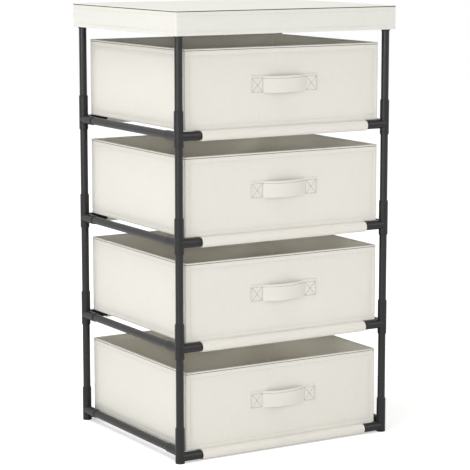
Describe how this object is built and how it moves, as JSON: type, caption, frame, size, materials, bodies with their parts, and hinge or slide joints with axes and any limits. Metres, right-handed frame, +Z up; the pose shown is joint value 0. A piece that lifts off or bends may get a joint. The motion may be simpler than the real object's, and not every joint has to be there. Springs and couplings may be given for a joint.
{
  "type": "storage shelf with fabric bins",
  "caption": "Tube-frame storage shelf with pull-out fabric bins on cloth slings and a fabric-covered top.",
  "frame": {"origin": "on the floor, midway between the four posts", "axes": "+Z up, -Y towards the front where the bins pull out, +X to the right seen from the front"},
  "size_m": [0.49, 0.42, 0.8525],
  "materials": {
    "tube_steel": "charcoal powder coat, satin",
    "connector_plastic": "moulded, fine matte",
    "sling_cloth": "cream non-woven cloth",
    "cover_cloth": "cream linen-look cloth",
    "stiff_board": "plain pale grey board",
    "bin_cloth": "cream linen-look cloth",
    "bin_lining": "pale cream non-woven lining",
    "handle_webbing": "cream linen-look strap"
  },
  "bodies": {
    "frame": {"post_front_left": "tube_steel", "connectors_front_left": "connector_plastic", "foot_front_left": "connector_plastic", "post_front_right": "tube_steel", "connectors_front_right": "connector_plastic", "foot_front_right": "connector_plastic", "post_rear_left": "tube_steel", "connectors_rear_left": "connector_plastic", "foot_rear_left": "connector_plastic", "post_rear_right": "tube_steel", "connectors_rear_right": "connector_plastic", "foot_rear_right": "connector_plastic", "top_connectors": "connector_plastic", "front_rail_top": "tube_steel", "front_rail_1": "tube_steel", "front_rail_2": "tube_steel", "front_rail_3": "tube_steel", "front_rail_4": "tube_steel", "rear_rail_top": "tube_steel", "rear_rail_1": "tube_steel", "rear_rail_2": "tube_steel", "rear_rail_3": "tube_steel", "rear_rail_4": "tube_steel", "left_rail_top": "tube_steel", "left_rail_1": "tube_steel", "left_rail_2": "tube_steel", "left_rail_3": "tube_steel", "left_rail_4": "tube_steel", "right_rail_top": "tube_steel", "right_rail_1": "tube_steel", "right_rail_2": "tube_steel", "right_rail_3": "tube_steel", "right_rail_4": "tube_steel", "sling_1": "sling_cloth", "sling_2": "sling_cloth", "sling_3": "sling_cloth", "sling_4": "sling_cloth"},
    "top_cover": {"top_cover": "cover_cloth", "top_board": "stiff_board"},
    "bin_1": {"bin_1_outer": "bin_cloth", "bin_1_lining": "bin_lining", "bin_1_walls": "stiff_board", "bin_1_base": "stiff_board", "bin_1_handle": "handle_webbing"},
    "bin_2": {"bin_2_outer": "bin_cloth", "bin_2_lining": "bin_lining", "bin_2_walls": "stiff_board", "bin_2_base": "stiff_board", "bin_2_handle": "handle_webbing"},
    "bin_3": {"bin_3_outer": "bin_cloth", "bin_3_lining": "bin_lining", "bin_3_walls": "stiff_board", "bin_3_base": "stiff_board", "bin_3_handle": "handle_webbing"},
    "bin_4": {"bin_4_outer": "bin_cloth", "bin_4_lining": "bin_lining", "bin_4_walls": "stiff_board", "bin_4_base": "stiff_board", "bin_4_handle": "handle_webbing"}
  },
  "joints": [
    {"name": "cover_lift", "type": "slide", "parent": "frame", "child": "top_cover", "axis": [0, 0, 1], "range_m": [0, 0.1]},
    {"name": "bin_1_slide", "type": "slide", "parent": "frame", "child": "bin_1", "axis": [0, -1, 0], "range_m": [0, 0.4]},
    {"name": "bin_2_slide", "type": "slide", "parent": "frame", "child": "bin_2", "axis": [0, -1, 0], "range_m": [0, 0.4]},
    {"name": "bin_3_slide", "type": "slide", "parent": "frame", "child": "bin_3", "axis": [0, -1, 0], "range_m": [0, 0.4]},
    {"name": "bin_4_slide", "type": "slide", "parent": "frame", "child": "bin_4", "axis": [0, -1, 0], "range_m": [0, 0.4]}
  ]
}
